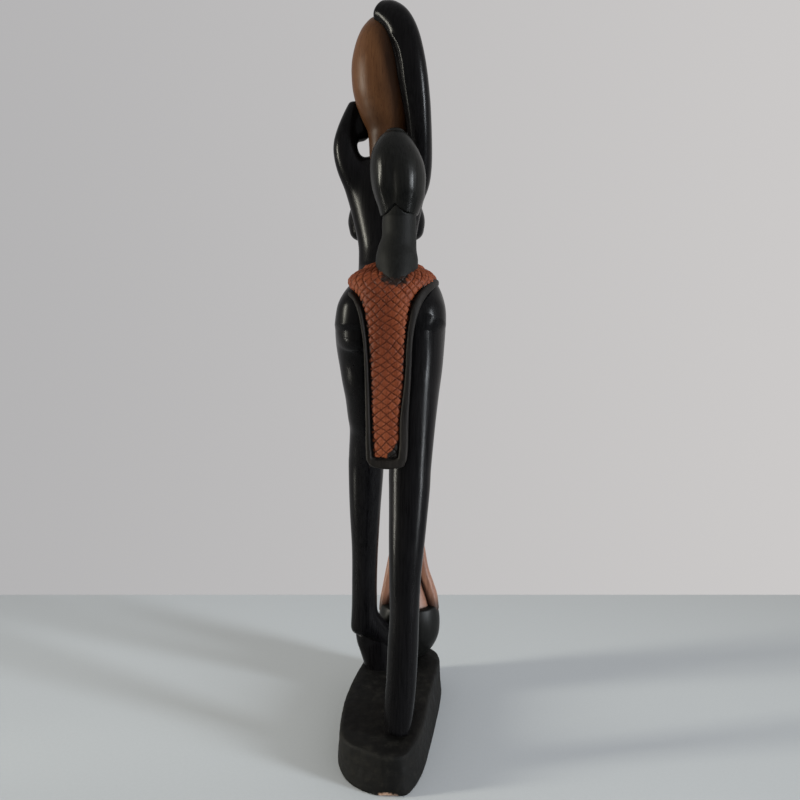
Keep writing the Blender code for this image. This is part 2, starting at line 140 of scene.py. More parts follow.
WRAP_RIM = (
    (-22.8, -36, 299.6, 1.3, 2.2), (-20.6, -43, 298.8, 1.4, 2.4), (-18, -50, 297.2, 1.4, 2.5),
    (-15, -56, 294.4, 1.3, 2.5), (-12.6, -60.2, 290, 1.2, 2.5), (-10.6, -62.2, 283, 1.1, 2.5),
    (-8.5, -63, 268, 1.0, 2.5), (-7.7, -63.2, 250, 1.2, 2.5), (-7.2, -63.4, 226, 1.4, 2.4),
    (-6.9, -63.4, 207, 1.6, 2.4), (-5.2, -63.4, 200.2, 2.1, 2.4), (3.3, -63.6, 198.6, 2.8, 2.4),
    (11.4, -63.4, 200.4, 2.8, 2.4), (13.2, -63.4, 208, 2.6, 2.4), (13.7, -63.4, 226, 2.5, 2.4),
    (15.7, -63.2, 250, 1.9, 2.5), (16.4, -62.8, 268, 1.8, 2.5), (17.8, -61.8, 281, 2.1, 2.6),
    (20, -59.4, 290.4, 2.5, 2.7), (23.4, -53.6, 298, 2.6, 2.8), (27, -44.6, 303, 2.5, 2.8),
    (28.8, -34, 305.2, 2.4, 2.6), (29, -23, 306, 2.2, 2.4),
)
HEEL_BLOCK = (
    (-15.6, 38.6, 23.6, 10.6, 12.4), (-16.4, 38.4, 30, 11, 12.4), (-17.6, 38, 38, 11.9, 12.4),
    (-19.2, 37.4, 46.4, 13, 12), (-20.6, 36, 53, 12.6, 10.6),
)
JAR = (
    (-6, 1, 384.6, 8.6, 8.2), (-5.7, 1, 390, 10, 9.4), (-4.7, 1, 396, 11.2, 10.6),
    (-3.8, 1, 401, 12.4, 11.8), (-3.4, 1, 405.6, 13.5, 12.8), (-4.3, 1, 413.1, 16.2, 15.2),
    (-5.3, 1, 420.7, 18.2, 17), (-6.1, 1, 427.7, 19.5, 18.2), (-6.7, 1, 435.2, 20, 18.7),
    (-7, 1, 443.9, 20, 18.7), (-6.9, 1, 450.7, 19.4, 18.1), (-6.6, 1, 459.3, 17.6, 16.5),
    (-6.5, 1, 467.1, 14.4, 13.5), (-6.4, 1, 473, 9.8, 9.2), (-6.4, 1, 475.8, 5.6, 5.2),
)
# turned vessels: place of the axis, depth as a share of the width, then radius and height
GOURD_CENTRE = (5.4, 57.5)
GOURD_DEPTH = 0.84
BOWL_PROFILE = (
    (0, 25.2), (10.6, 25.4), (14.8, 28), (19.6, 34.5), (22.8, 42), (23.8, 50), (23.4, 58),
    (21.8, 64.6), (20.4, 65.8), (17, 66), (0, 66),
)
GOURD_NECK_PROFILE = (
    (0, 61), (17, 62), (15, 67), (12.8, 74.4), (10, 83), (7.6, 94), (5.8, 105), (5.0, 110.4),
    (6.1, 112.6), (6.2, 114.6), (4.2, 115.6), (0, 115.8),
)
GOURD_STRAP = (
    (-14.4, 57.5, 60, 5.4, 3.8), (-13.4, 57.5, 68, 5.4, 4), (-11.4, 57.5, 78, 5.2, 4),
    (-8.6, 57.5, 94, 4.8, 3.8), (-5.2, 57.5, 112, 4.2, 3.4), (-1.4, 57.5, 125.2, 4, 3.2),
    (4.6, 57.5, 131, 4, 3.2), (10.6, 57.5, 125.2, 4, 3.2), (13.6, 57.5, 112, 4.2, 3.4),
    (16.4, 57.5, 94, 4.8, 3.8), (20.2, 57.5, 82, 5.2, 4), (23.2, 57.5, 72.4, 5.4, 4),
    (25, 57.5, 62, 5.4, 3.6),
)
BASE_HEIGHT = 25.0
# height, and the outline's size there, for the slightly rounded upper and lower edges
BASE_LEVELS = (
    (0.0, 0.985), (0.9, 1.0), (BASE_HEIGHT * 0.5, 1.0), (BASE_HEIGHT - 2.2, 1.0),
    (BASE_HEIGHT - 0.7, 0.985), (BASE_HEIGHT, 0.945),
)
# outline at the table, then at the top: x, y, x, y
BASE_OUTLINE = (
    (4, -79.4, 3.4, -76), (15.5, -76.4, 13.6, -74.6), (21.4, -66.6, 19, -66), (25.6, -50.5, 22.6, -50),
    (27.8, -29, 25, -29), (30, -5, 25.8, -3), (32, 30, 28.4, 30), (31, 55, 29, 54), (23.5, 70.4, 22, 69),
    (4, 77.4, 4, 75.5), (-14, 73.6, -13, 71.5), (-27, 60.6, -25, 58.5), (-33.5, 36, -29.4, 34),
    (-35.4, 4, -32, 3), (-35.2, -23, -31.7, -23), (-31.6, -44.6, -29.6, -43.6), (-27.3, -56.6, -26.4, -57),
    (-21.2, -66.6, -20.2, -64.6), (-12.6, -73.8, -12, -69), (-2.2, -77.9, -3, -73.6),
)

# ---------------------------------------------------------------- lines of the carving: x, y, z
FINGER_GAP = 3.4
RIGHT_FINGERS = ((3, -10, 479.4), (-3, -9, 483), (-8, -8.4, 483.4), (-13, -8.4, 478))
RIGHT_FINGER_SPREAD = (1, 1, 0.9, 0.7)
LEFT_FINGERS = ((-26, 12, 430), (-24.6, 13.6, 439), (-22, 14, 448))
LEFT_FINGER_SPREAD = (1, 1, 1)
ARM_RIDGE = (
    (-2, -14.6, 462), (5, -20.4, 452), (8.4, -21, 440), (9.6, -20, 426), (11, -17.4, 412), (12, -13, 398),
)
ARM_HOLLOW = ((-6, -14, 466), (1.6, -17.4, 452), (4.6, -18, 440), (6.2, -16.6, 426), (8.4, -13.6, 412))
KNEE_CREASE = ((-34, 8, 207), (-29, 1, 208), (-22, -2.4, 208.4), (-12, -1, 208))
SPINE = ((-5, -9, 372), (-5, -11.4, 355), (-4.8, -12, 340), (-4.6, -15, 322))
# x, height of the lip, height of the crease under it
RIGHT_BUTTOCK = ((4, 281, 279.6), (12, 282.6, 279), (23, 287, 277), (32, 283, 276), (38, 277, 274.6))
LEFT_BUTTOCK = (
    (-38, 279, 276), (-30, 280.2, 276.4), (-20, 280.6, 276.6), (-8, 280.4, 276.8), (-2, 280, 277),
)

# face relief from the face's centre: side, height, half width, half height, rise
FACE_SPOTS = (
    (5.4, 1.2, 3.6, 2.6, -1.15),  # eye sockets
    (5.4, 5.2, 4.6, 1.3, 0.55),  # brows
    (5.2, 0.6, 2.6, 1.25, 1.05),  # closed lids
    (2.3, -6.6, 1.1, 1.1, 0.9),  # nostrils
    (0, -11.4, 4.0, 1.0, 1.1),  # upper lip
    (0, -13.7, 3.5, 1.1, 1.2),  # lower lip
    (0, -17.6, 3.6, 2.0, 0.8),  # chin
    (8.4, -4.0, 3.0, 3.4, 0.5),  # cheeks
)
HEAD_CENTRE = (-4.5, 36.0, 412.0)
CHILD_HEAD_CENTRE = (8.0, -33.4, 364.0)
# the child's hair edge: middle of the nape, height beside it, rise and half width of its peak
NAPE_X = 6.9
NAPE_HEIGHT = 345.2
NAPE_PEAK = 5.4
NAPE_HALF_WIDTH = 4.2

# the wrap's diamonds: axis the cloth turns round, its radius, and the pitch across and up
WRAP_AXIS = (3.5, -31)
WRAP_RADIUS = 33
DIAMOND_ACROSS = 6.0
DIAMOND_UP = 5.3
# cut width as a share of the pitch, then millimetres of cut depth, swelling and lean of each diamond
CUT_WIDTH = 0.07
CUT_DEPTH = 0.6
DIAMOND_SWELL = 0.3
DIAMOND_LEAN = 0.25


# ---------------------------------------------------------------- mesh code
CAP_ANGLES = (22, 45, 65, 85)


def spline(rows, steps, closed=False):
    """Points of a Catmull-Rom curve through the rows."""
    rows = np.asarray(rows, float)
    if closed:
        padded = np.vstack([rows[-1:], rows, rows[:2]])
    else:
        padded = np.vstack([2 * rows[0] - rows[1], rows, 2 * rows[-1] - rows[-2]])
    found = []
    for i in range(1, len(padded) - 2):
        p0, p1, p2, p3 = padded[i - 1:i + 3]
        for step in range(steps):
            t = step / steps
            found.append(0.5 * (2 * p1 + (p2 - p0) * t + (2 * p0 - 5 * p1 + 4 * p2 - p3) * t * t
                                + (3 * p1 - p0 - 3 * p2 + p3) * t ** 3))
    if not closed:
        found.append(padded[-2])
    return np.array(found)


def closed_faces(rings, count):
    """Faces between rings of count points each, and one face over each end."""
    faces = []
    for ring in range(rings - 1):
        low, high = ring * count, (ring + 1) * count
        for point in range(count):
            after = (point + 1) % count
            faces.append((low + point, low + after, high + after, high + point))
    faces.append(tuple(reversed(range(count))))
    faces.append(tuple(range((rings - 1) * count, rings * count)))
    return faces


def loft(sections, across=(1, 0, 0), level=False, caps=(0.6, 0.6), count=40, steps=8, power=2.0,
         axis=None):
    """Closed loft through sections, each a rounded outline (power 2 is an ellipse, more is squarer).

    The sections lie across the path, or flat with level. The ends are rounded by caps, as a share of
    the end's smaller half size. With axis, the first half size is measured away from that upright axis.
    """
    rows = spline(sections, steps)
    across = np.array(across, float)
    rings = []
    for i, row in enumerate(rows):
        along = rows[min(i + 1, len(rows) - 1)][:3] - rows[max(i - 1, 0)][:3]
        along /= np.linalg.norm(along)
        if axis:
            across = np.array((row[0] - axis[0], row[1] - axis[1], 0.0))
        width = across - along * across.dot(along)
        width /= np.linalg.norm(width)
        depth = np.cross(along, width)
        if level:
            along, width, depth = np.array((0, 0, 1.0)), np.array((1.0, 0, 0)), np.array((0, 1.0, 0))
        turn = np.linspace(0, 2 * math.pi, count, endpoint=False)
        c, s = np.cos(turn), np.sin(turn)
        cx = np.sign(c) * np.abs(c) ** (2 / power)
        sy = np.sign(s) * np.abs(s) ** (2 / power)
        shape = np.outer(cx * row[3], width) + np.outer(sy * row[4], depth)
        rings.append((row[:3], shape, along, min(row[3], row[4])))
    made = []
    for angle in reversed(CAP_ANGLES):
        centre, shape, along, size = rings[0]
        a = math.radians(angle)
        made.append(centre - along * size * caps[0] * math.sin(a) + shape * math.cos(a))
    made += [centre + shape for centre, shape, _, _ in rings]
    for angle in CAP_ANGLES:
        centre, shape, along, size = rings[-1]
        a = math.radians(angle)
        made.append(centre + along * size * caps[1] * math.sin(a) + shape * math.cos(a))
    return np.vstack(made), closed_faces(len(made), count)


def lathe(profile, centre, depth_share):
    """Closed turned shape, pressed flatter in depth by depth_share."""
    count = 72
    rows = spline(profile, 5)
    rows[:, 0] = np.maximum(rows[:, 0], 0.02)
    turn = np.linspace(0, 2 * math.pi, count, endpoint=False)
    made = [np.column_stack([centre[0] + r * np.cos(turn), centre[1] + r * np.sin(turn) * depth_share,
                             np.full(count, z)]) for r, z in rows]
    return np.vstack(made), closed_faces(len(made), count)


def ellipsoid(centre, radii, count):
    """Closed ellipsoid of nine level outlines with count points each."""
    rows = [(centre[0], centre[1], centre[2] + radii[2] * math.sin(a), radii[0] * math.cos(a),
             radii[1] * math.cos(a)) for a in np.linspace(-1.35, 1.35, 9)]
    return loft(rows, level=True, caps=(0.3, 0.3), count=count, steps=2)


def mesh_of(name, parts):
    """One mesh from several sets of points and faces."""
    points, faces, start = [], [], 0
    for part_points, part_faces in parts:
        points.append(part_points)
        faces += [tuple(index + start for index in face) for face in part_faces]
        start += len(part_points)
    mesh = bpy.data.meshes.new(name)
    mesh.from_pydata((np.vstack(points) * MM).tolist(), [], faces)
    mesh.update()
    return mesh


def settle(obj):
    """Turns the result of the modifiers into the object's own mesh."""
    graph = bpy.context.evaluated_depsgraph_get()
    mesh = bpy.data.meshes.new_from_object(obj.evaluated_get(graph))
    obj.modifiers.clear()
    obj.data = mesh


def fused(name, parts, voxel, rounds):
    """One smooth skin over overlapping closed parts, with the creases between them filleted."""
    obj = bpy.data.objects.new(name, mesh_of(name, parts))
    bpy.context.scene.collection.objects.link(obj)
    remesh = obj.modifiers.new("skin", "REMESH")
    remesh.mode = "VOXEL"
    remesh.voxel_size = voxel * MM
    smooth = obj.modifiers.new("fillet", "SMOOTH")
    smooth.factor = 0.5
    smooth.iterations = rounds
    settle(obj)
    obj.data.polygons.foreach_set("use_smooth", [True] * len(obj.data.polygons))
    return obj


def points_of(obj):
    flat = np.empty(len(obj.data.vertices) * 3, np.float32)
    obj.data.vertices.foreach_get("co", flat)
    return flat.reshape(-1, 3).astype(float) / MM


def normals_of(obj):
    flat = np.empty(len(obj.data.vertices) * 3, np.float32)
    obj.data.vertex_normals.foreach_get("vector", flat)
    return flat.reshape(-1, 3).astype(float)


def set_points(obj, points):
    obj.data.vertices.foreach_set("co", (points * MM).astype(np.float32).ravel())
    obj.data.update()


def raise_by(obj, height):
    """Moves each point along its normal by height, in millimetres."""
    set_points(obj, points_of(obj) + normals_of(obj) * height[:, None])


def soften(obj, weight, rounds):
    """Repeated averaging of each point with its neighbours, weighted point by point."""
    mesh = obj.data
    pairs = np.empty(len(mesh.edges) * 2, np.int32)
    mesh.edges.foreach_get("vertices", pairs)
    first, second = pairs.reshape(-1, 2).T
    count = len(mesh.vertices)
    valence = np.bincount(first, minlength=count) + np.bincount(second, minlength=count)
    points = points_of(obj)
    share = 0.5 * weight[:, None] / valence[:, None]
    for _ in range(rounds):
        total = np.empty_like(points)
        for axis in range(3):
            column = points[:, axis]
            total[:, axis] = (np.bincount(first, column[second], count)
                              + np.bincount(second, column[first], count))
        points = points + share * (total - valence[:, None] * points)
    set_points(obj, points)


def blob(points, centre, radii):
    """1 at the centre, falling smoothly to about a third at the radii and to 0 beyond them."""
    away = (points - np.array(centre)) / np.array(radii)
    return np.exp(-(away ** 2).sum(axis=1))


def ramp(value, low, high):
    """0 up to low, 1 from high, and smooth between them."""
    t = np.clip((value - low) / (high - low), 0, 1)
    return t * t * (3 - 2 * t)


def near_line(points, line, reach):
    """Distance of each point to a smooth line, for points within reach. Others get a huge distance."""
    dense = spline(line, 8)
    best = np.full(len(points), 1e9)
    low, high = dense.min(axis=0) - reach, dense.max(axis=0) + reach
    index = np.where(((points > low) & (points < high)).all(axis=1))[0]
    chosen = points[index]
    for start, end in zip(dense, dense[1:]):
        step = end - start
        t = np.clip(((chosen - start) @ step) / max(step @ step, 1e-9), 0, 1)
        away = np.linalg.norm(chosen - (start + t[:, None] * step), axis=1)
        best[index] = np.minimum(best[index], away)
    return best


def groove(points, line, width, depth):
    """Height of a soft groove along a line."""
    return -depth * np.exp(-(near_line(points, line, width * 4) / width) ** 2)


def buttock(points, rows, depth):
    """Fullness above a lip that overhangs the thigh, on the back of the hip only."""
    x, y, z = points.T
    stations, lip, crease = np.array(rows, float).T
    top = np.interp(x, stations, lip)
    low = np.interp(x, stations, crease)
    inside = ramp(x, stations[0] - 1, stations[0] + 3) * ramp(-x, -stations[-1] - 1, -stations[-1] + 3)
    rise = np.clip((z - low) / (top - low), 0, 1)
    return depth * rise * inside * ramp(-y, 27, 47) * ramp(-z, -306, -290)


def noise_at(points, scale, seed):
    """Smooth unevenness, about -1 to 1, with one wave in roughly 1 / scale millimetres."""
    return np.array([noise.noise(Vector((x * scale + seed, y * scale - seed, z * scale)))
                     for x, y, z in points])


# ---------------------------------------------------------------- materials
# colour of the wrap's blackened border and corner, and of the painted shade under the child's neck
BLACKENING_AND_SHADE_TONE = (0.006, 0.0045, 0.0035)


class Look:
    """Small helper around one material's nodes."""

    def __init__(self, name, roughness, specular=0.3):
        self.material = bpy.data.materials.new(name)
        self.material.use_nodes = True
        self.tree = self.material.node_tree
        self.shader = self.tree.nodes["Principled BSDF"]
        self.shader.inputs["Roughness"].default_value = roughness
        self.shader.inputs["Specular IOR Level"].default_value = specular
        self.coords = self.tree.nodes.new("ShaderNodeTexCoord")

    def node(self, kind, **settings):
        made = self.tree.nodes.new(kind)
        for key, value in settings.items():
            setattr(made, key, value)
        return made

    def link(self, source, target):
        self.tree.links.new(source, target)

    def scaled(self, scale):
        mapping = self.node("ShaderNodeMapping")
        mapping.inputs["Scale"].default_value = scale
        self.link(self.coords.outputs["Object"], mapping.inputs["Vector"])
        return mapping.outputs["Vector"]

    def noise(self, scale, detail=4.0, rough=0.55, distortion=0.0):
        made = self.node("ShaderNodeTexNoise")
        made.inputs["Scale"].default_value = 1.0
        made.inputs["Detail"].default_value = detail
        made.inputs["Roughness"].default_value = rough
        made.inputs["Distortion"].default_value = distortion
        self.link(self.scaled(scale), made.inputs["Vector"])
        return made.outputs["Fac"]

    def ramp(self, source, stops):
        made = self.node("ShaderNodeValToRGB")
        ramp_stops = made.color_ramp.elements
        while len(ramp_stops) < len(stops):
            ramp_stops.new(0.5)
        for element, (place, colour) in zip(ramp_stops, stops):
            element.position = place
            element.color = (*colour, 1.0)
        self.link(source, made.inputs["Fac"])
        return made.outputs["Color"]

    def range(self, source, low, high, to_low, to_high):
        made = self.node("ShaderNodeMapRange")
        for key, value in zip(("From Min", "From Max", "To Min", "To Max"), (low, high, to_low, to_high)):
            made.inputs[key].default_value = value
        self.link(source, made.inputs["Value"])
        return made.outputs["Result"]

    def mix(self, fac, first, second, blend="MIX"):
        made = self.node("ShaderNodeMix", data_type="RGBA", blend_type=blend)
        for socket, value in ((made.inputs[0], fac), (made.inputs[6], first), (made.inputs[7], second)):
            if isinstance(value, bpy.types.NodeSocket):
                self.link(value, socket)
            elif socket.type == "RGBA":
                socket.default_value = (*value, 1.0)
            else:
                socket.default_value = value
        return made.outputs[2]

    def maths(self, operation, first, second=None):
        made = self.node("ShaderNodeMath", operation=operation)
        for socket, value in zip(made.inputs, (first, second)):
            if isinstance(value, bpy.types.NodeSocket):
                self.link(value, socket)
            elif value is not None:
                socket.default_value = value
        return made.outputs[0]

    def bump(self, height, strength, distance):
        made = self.node("ShaderNodeBump")
        made.inputs["Strength"].default_value = strength
        made.inputs["Distance"].default_value = distance * MM
        self.link(height, made.inputs["Height"])
        self.link(made.outputs["Normal"], self.shader.inputs["Normal"])

    def colour(self, source):
        self.link(source, self.shader.inputs["Base Color"])

    def rough(self, source):
        self.link(source, self.shader.inputs["Roughness"])


def black_wood(name, dark, light, rough_low, rough_high, grain_bump, matte=None, specular=0.062):
    """Stained black wood. The matte layer names the points where the polish is dull."""
    look = Look(name, rough_high, specular)
    grain = look.noise((900, 900, 45), 6.0, 0.6, 0.6)
    cloudy = look.noise((70, 70, 30), 3.0)
    tone = look.ramp(grain, ((0.35, dark), (0.62, light), (0.75, [c * 1.3 for c in light])))
    dusty = look.ramp(cloudy, ((0.45, (0, 0, 0)), (0.8, (0.35, 0.35, 0.35))))
    look.colour(look.mix(dusty, tone, [c * 1.6 for c in light]))
    mixed = look.maths("ADD", look.maths("MULTIPLY", grain, 0.4), look.maths("MULTIPLY", cloudy, 0.6))
    rough = look.range(mixed, 0.3, 0.7, rough_low, rough_high)
    if matte:
        layer = look.node("ShaderNodeVertexColor", layer_name=matte)
        dull = look.range(layer.outputs["Color"], 0, 1, 0.0, 0.32)
        rough = look.maths("ADD", rough, dull)
    look.rough(rough)
    marks = look.noise((260, 260, 110), 2.0)
    look.bump(look.maths("ADD", grain, look.maths("MULTIPLY", marks, 2.0)), grain_bump, 0.12)
    return look.material


def brown_wood(name, dark, middle, light, rough_low, rough_high, darkening_layer, blackening_and_shade=None,
               darkening_tone=(0.011, 0.005, 0.003), specular=0.3):
    """Brown wood with grain and flecks, darkened by one vertex layer and blackened by another. Besides
    real staining, these layers carry painted shade.
    """
    look = Look(name, rough_high, specular)
    grain = look.noise((520, 520, 26), 7.0, 0.62, 1.2)
    broad = look.noise((60, 60, 16), 3.0, 0.5, 0.8)
    flecks = look.noise((1500, 1500, 120), 2.0)
    mixed = look.maths("ADD", look.maths("MULTIPLY", grain, 0.55), look.maths("MULTIPLY", broad, 0.45))
    tone = look.ramp(mixed, ((0.33, dark), (0.5, middle), (0.68, light)))
    speck = look.ramp(flecks, ((0.30, (0.55, 0.5, 0.46)), (0.44, (1, 1, 1))))
    tone = look.mix(0.7, tone, speck, "MULTIPLY")
    layer = look.node("ShaderNodeVertexColor", layer_name=darkening_layer)
    tone = look.mix(layer.outputs["Color"], tone, darkening_tone)
    if blackening_and_shade:
        layer = look.node("ShaderNodeVertexColor", layer_name=blackening_and_shade)
        tone = look.mix(layer.outputs["Color"], tone, BLACKENING_AND_SHADE_TONE)
    look.colour(tone)
    look.rough(look.range(mixed, 0.35, 0.65, rough_low, rough_high))
    look.bump(look.maths("ADD", grain, flecks), 0.25, 0.15)
    return look.material


def base_look():
    """Rough, unevenly stained black wood with a pale layer for bare chips."""
    look = Look("stained_base", 0.7, specular=0.12)
    rough = look.noise((150, 150, 150), 8.0, 0.72)
    chisel = look.noise((90, 90, 300), 3.0, 0.5, 0.5)
    tone = look.ramp(rough, ((0.3, (0.0015, 0.0014, 0.0012)), (0.52, (0.0031, 0.0029, 0.0025)),
                             (0.72, (0.012, 0.0112, 0.0092))))
    bare = look.node("ShaderNodeVertexColor", layer_name="bare")
    grain = look.noise((600, 90, 600), 4.0)
    wood = look.ramp(grain, ((0.35, (0.30, 0.17, 0.11)), (0.65, (0.52, 0.36, 0.27))))
    look.colour(look.mix(bare.outputs["Color"], tone, wood))
    look.rough(look.range(rough, 0.3, 0.7, 0.55, 0.85))
    look.bump(look.maths("ADD", rough, look.maths("MULTIPLY", chisel, 1.5)), 0.5, 0.5)
    return look.material


def cloth_look(name, colour):
    look = Look(name, 0.9)
    weave = look.noise((500, 500, 500), 5.0)
    look.colour(look.ramp(weave, ((0.3, [c * 0.97 for c in colour]), (0.7, colour))))
    look.bump(weave, 0.08, 0.3)
    return look.material


EBONY = black_wood("polished_ebony", (0.0014, 0.0013, 0.0015), (0.0036, 0.0034, 0.0037), 0.2, 0.3, 0.05)
SATIN = black_wood("satin_black", (0.0022, 0.0023, 0.0021), (0.0054, 0.0056, 0.0051), 0.22, 0.32, 0.12,
                   matte="matte", specular=0.10)
RIM = black_wood("rim_black", (0.0046, 0.0040, 0.0035), (0.0110, 0.0096, 0.0086), 0.42, 0.6, 0.35)
# the jar's darkening layer is painted shade with a painted lit patch, the wrap's cut layer is painted
# shade in the cuts, and the gourd's is real staining
JAR_BROWN = brown_wood("jar_brown", (0.060, 0.023, 0.0086), (0.086, 0.036, 0.014), (0.110, 0.049, 0.020),
                       0.34, 0.44, "stain_and_shade", specular=0.09)
CLOTH_BROWN = brown_wood("wrap_brown", (0.080, 0.0165, 0.0052), (0.123, 0.0275, 0.0092),
                         (0.170, 0.0445, 0.0155), 0.46, 0.64, "carved", blackening_and_shade="blackening_and_shade",
                         darkening_tone=(0.034, 0.008, 0.003), specular=0.12)
GOURD_BROWN = brown_wood("gourd_brown", (0.102, 0.044, 0.027), (0.168, 0.080, 0.051),
                         (0.228, 0.122, 0.083), 0.42, 0.58, "stain_and_shade")
BASE_STAIN = base_look()


def paint(obj, layer, values):
    """Stores 0 to 1 values per point, for a material to read."""
    made = obj.data.color_attributes.new(layer, "FLOAT_COLOR", "POINT")
    flat = np.repeat(np.clip(values, 0, 1), 4).astype(np.float32)
    flat[3::4] = 1.0
    made.data.foreach_set("color", flat)


def finish_piece(obj, material, slot, *nodes):
    """Gives the piece its material and the place of the nodes it stands for."""
    obj.data.materials.clear()
    obj.data.materials.append(material)
    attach(obj, "root")
    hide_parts(*nodes)


# ---------------------------------------------------------------- the woman's body
def toes(centre, gap, size):
    """Five short rounded toes side by side in X. The second is the longest."""
    made = []
    for toe in range(5):
        place = (centre[0] + gap * (toe - 2), centre[1] - 0.9 * abs(toe - 1.2), centre[2])
        radius = size * (1 - 0.1 * abs(toe - 1))
        made.append(ellipsoid(place, (radius, 1.25 * radius, 0.8 * radius), 16))
    return made


def finger_lines(points, line, spread):
    """Grooves between four fingers, spread in Y along the line."""
    height = 0
    for offset in (-FINGER_GAP, 0, FINGER_GAP):
        placed = [(x, y + offset * share, z) for (x, y, z), share in zip(line, spread)]
        height = height + groove(points, placed, 0.5, 0.6)
    return height


def build_body():
    parts = [
        loft(RIGHT_LEG, caps=(0.1, 0.6)), loft(RIGHT_FOOT, caps=(0.6, 0.7)),
        loft(LEFT_LEG, caps=(0.6, 0.6)), loft(LEFT_FOOT, caps=(0.8, 0.7)),
        loft(PELVIS, level=True, caps=(0.8, 0.2)),
        loft(TORSO, level=True, caps=(0.2, 0.4)),
        loft(LEFT_BREAST, caps=(0.5, 0.85)), loft(RIGHT_BREAST, caps=(0.5, 0.85)),
        loft(NECK, caps=(0.2, 0.3)),
        loft(LEFT_ARM, caps=(0.5, 0.4)), loft(LEFT_HAND, caps=(0.3, 0.8), power=2.4),
        loft(RIGHT_ARM, caps=(0.5, 0.75), power=2.2),
    ]
    parts += toes((9.6, -18.6, 27.4), 3.1, 1.9)
    obj = fused("figure_body", parts, BODY_VOXEL, 10)
    # the hips, the shoulders and the left instep are one flowing surface
    points = points_of(obj)
    hips = blob(points, (1, -22, 298), (46, 40, 14))
    shoulders = blob(points, (-4, 4, 378), (46, 24, 24))
    instep = blob(points, (-18, 30, 58), (18, 18, 18))
    weight = np.clip(1.6 * (hips + shoulders + instep), 0, 1)
    soften(obj, weight, SOFT_ROUNDS)
    points = points_of(obj)
    height = 0.10 * noise_at(points, 0.045, 3.1)
    height += finger_lines(points, RIGHT_FINGERS, RIGHT_FINGER_SPREAD)
    height += finger_lines(points, LEFT_FINGERS, LEFT_FINGER_SPREAD)
    # edge down the back of the raised arm, between its flat inner side and its round outer side
    height -= groove(points, ARM_RIDGE, 1.3, 0.6)
    height += groove(points, ARM_HOLLOW, 1.6, 0.5)
    height += groove(points, KNEE_CREASE, 0.4, 0.35)
    height += buttock(points, RIGHT_BUTTOCK, 3.0)
    height += buttock(points, LEFT_BUTTOCK, 2.6)
    # the averaging thins the hips and the instep a little
    height += 0.3 * weight * (points[:, 2] < 320)
    height += groove(points, SPINE, 2.4, 1.0)
    raise_by(obj, height)
    nodes = ("right_leg", "right_foot", "left_leg", "left_foot", "pelvis", "torso", "left_breast",
             "right_breast", "neck", "right_arm", "right_hand", "left_arm", "left_hand")
    finish_piece(obj, EBONY, "black_wood", *nodes)


def face_height(points, centre, scale):
    """Relief of a calm, evenly proportioned face on the +Y side."""
    cx, cy, cz = centre
    x = (points[:, 0] - cx) / scale
    z = (points[:, 2] - cz) / scale
    front = ramp((points[:, 1] - cy) / scale, 2.0, 7.0)
    side = np.abs(x)
    height = 0
    for across, up, half_width, half_height, rise in FACE_SPOTS:
        away = ((side - across) / half_width) ** 2 + ((z - up) / half_height) ** 2
        height = height + rise * np.exp(-away)
    # line of the closed lids
    lid = np.abs(z - (0.1 - 0.05 * (side - 5.2) ** 2))
    height -= 0.45 * np.exp(-(lid / 0.32) ** 2) * (np.abs(side - 5.2) < 2.9)
    # nose, widening and rising towards its tip
    bridge = np.clip((5 - z) / 13, 0, 1)
    nose = np.exp(-(side / (1.1 + 1.3 * bridge)) ** 2) * ramp(z, -8.6, -6.6) * ramp(-z, -6, -2)
    height += (0.7 + 2.3 * bridge) * nose
    # line between the lips
    height -= 0.7 * np.exp(-(side / 3.8) ** 4 - ((z + 12.5 - 0.02 * side ** 2) / 0.4) ** 2)
    return height * front * scale


def build_head():
    cx, cy, cz = HEAD_CENTRE
    parts = [loft(HEAD, level=True, caps=(0.7, 0.6), power=2.1)]
    for side in (-1, 1):
        parts.append(ellipsoid((cx + side * 13.2, cy - 1.0, cz - 1.5), (1.5, 2.6, 4.4), 20))
    obj = fused("figure_head", parts, FINE_VOXEL, 6)
    points = points_of(obj)
    height = face_height(points, HEAD_CENTRE, 1.0)
    # hair cap with combed rows, ending in a line over the brow and behind the ears
    hairline = cz + 9.5 - 0.35 * np.clip(cy + 12 - points[:, 1], 0, 40)
    hair = ramp(points[:, 2] - hairline, -0.3, 0.5)
    rows = np.sin(np.arctan2(points[:, 0] - cx, 12 + points[:, 2] - cz) * 34)
    height += hair * (0.7 + 0.22 * rows)
    # hollow of each ear
    for side in (-1, 1):
        height -= 0.5 * blob(points, (cx + side * 14.8, cy - 0.6, cz - 1.2), (0.9, 1.3, 2.4))
    raise_by(obj, height)
    finish_piece(obj, EBONY, "black_wood", "head")


